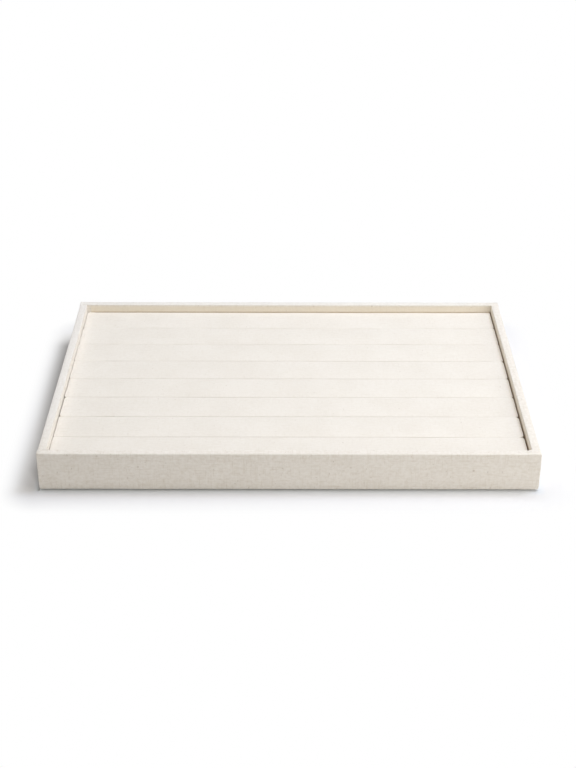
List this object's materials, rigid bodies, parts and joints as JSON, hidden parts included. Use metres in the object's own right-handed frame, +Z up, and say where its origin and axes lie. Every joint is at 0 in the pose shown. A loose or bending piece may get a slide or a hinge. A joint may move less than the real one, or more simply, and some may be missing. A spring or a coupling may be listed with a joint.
{
  "type": "jewelry tray",
  "caption": "Shallow rectangular display tray covered in natural linen, filled with soft padded bars whose joints grip small jewelry upright.",
  "frame": {"origin": "middle of the underside, on the surface that the tray stands on", "axes": "+X along the long side to the right, +Y from the front to the back, +Z up"},
  "size_m": [0.35, 0.24, 0.03],
  "materials": {
    "tray_linen": "plain-woven natural linen, glued flat",
    "roll_linen": "plain-woven natural linen over foam",
    "mdf": "bare fibreboard",
    "roll_card": "grey bookbinder's board",
    "roll_foam": "soft open-cell foam",
    "underside_felt": "short pressed felt",
    "nail_steel": "plain wire nails"
  },
  "bodies": {
    "tray": {"base_board": "mdf", "front_wall_board": "mdf", "rear_wall_board": "mdf", "left_wall_board": "mdf", "right_wall_board": "mdf", "corner_nails": "nail_steel", "base_nails": "nail_steel", "front_linen": "tray_linen", "rear_linen": "tray_linen", "left_linen": "tray_linen", "right_linen": "tray_linen", "floor_lining": "tray_linen", "underside_sheet": "underside_felt"},
    "roll_1": {"roll_1_linen": "roll_linen", "roll_1_card": "roll_card", "roll_1_foam": "roll_foam"},
    "roll_2": {"roll_2_linen": "roll_linen", "roll_2_card": "roll_card", "roll_2_foam": "roll_foam"},
    "roll_3": {"roll_3_linen": "roll_linen", "roll_3_card": "roll_card", "roll_3_foam": "roll_foam"},
    "roll_4": {"roll_4_linen": "roll_linen", "roll_4_card": "roll_card", "roll_4_foam": "roll_foam"},
    "roll_5": {"roll_5_linen": "roll_linen", "roll_5_card": "roll_card", "roll_5_foam": "roll_foam"},
    "roll_6": {"roll_6_linen": "roll_linen", "roll_6_card": "roll_card", "roll_6_foam": "roll_foam"},
    "roll_7": {"roll_7_linen": "roll_linen", "roll_7_card": "roll_card", "roll_7_foam": "roll_foam"},
    "roll_8": {"roll_8_linen": "roll_linen", "roll_8_card": "roll_card", "roll_8_foam": "roll_foam"}
  },
  "joints": [
    {"name": "lift_roll_1", "type": "slide", "parent": "tray", "child": "roll_1", "axis": [0, 0, 1], "range_m": [0, 0.028]},
    {"name": "lift_roll_2", "type": "slide", "parent": "tray", "child": "roll_2", "axis": [0, 0, 1], "range_m": [0, 0.028]},
    {"name": "lift_roll_3", "type": "slide", "parent": "tray", "child": "roll_3", "axis": [0, 0, 1], "range_m": [0, 0.028]},
    {"name": "lift_roll_4", "type": "slide", "parent": "tray", "child": "roll_4", "axis": [0, 0, 1], "range_m": [0, 0.028]},
    {"name": "lift_roll_5", "type": "slide", "parent": "tray", "child": "roll_5", "axis": [0, 0, 1], "range_m": [0, 0.028]},
    {"name": "lift_roll_6", "type": "slide", "parent": "tray", "child": "roll_6", "axis": [0, 0, 1], "range_m": [0, 0.028]},
    {"name": "lift_roll_7", "type": "slide", "parent": "tray", "child": "roll_7", "axis": [0, 0, 1], "range_m": [0, 0.028]},
    {"name": "lift_roll_8", "type": "slide", "parent": "tray", "child": "roll_8", "axis": [0, 0, 1], "range_m": [0, 0.028]}
  ]
}
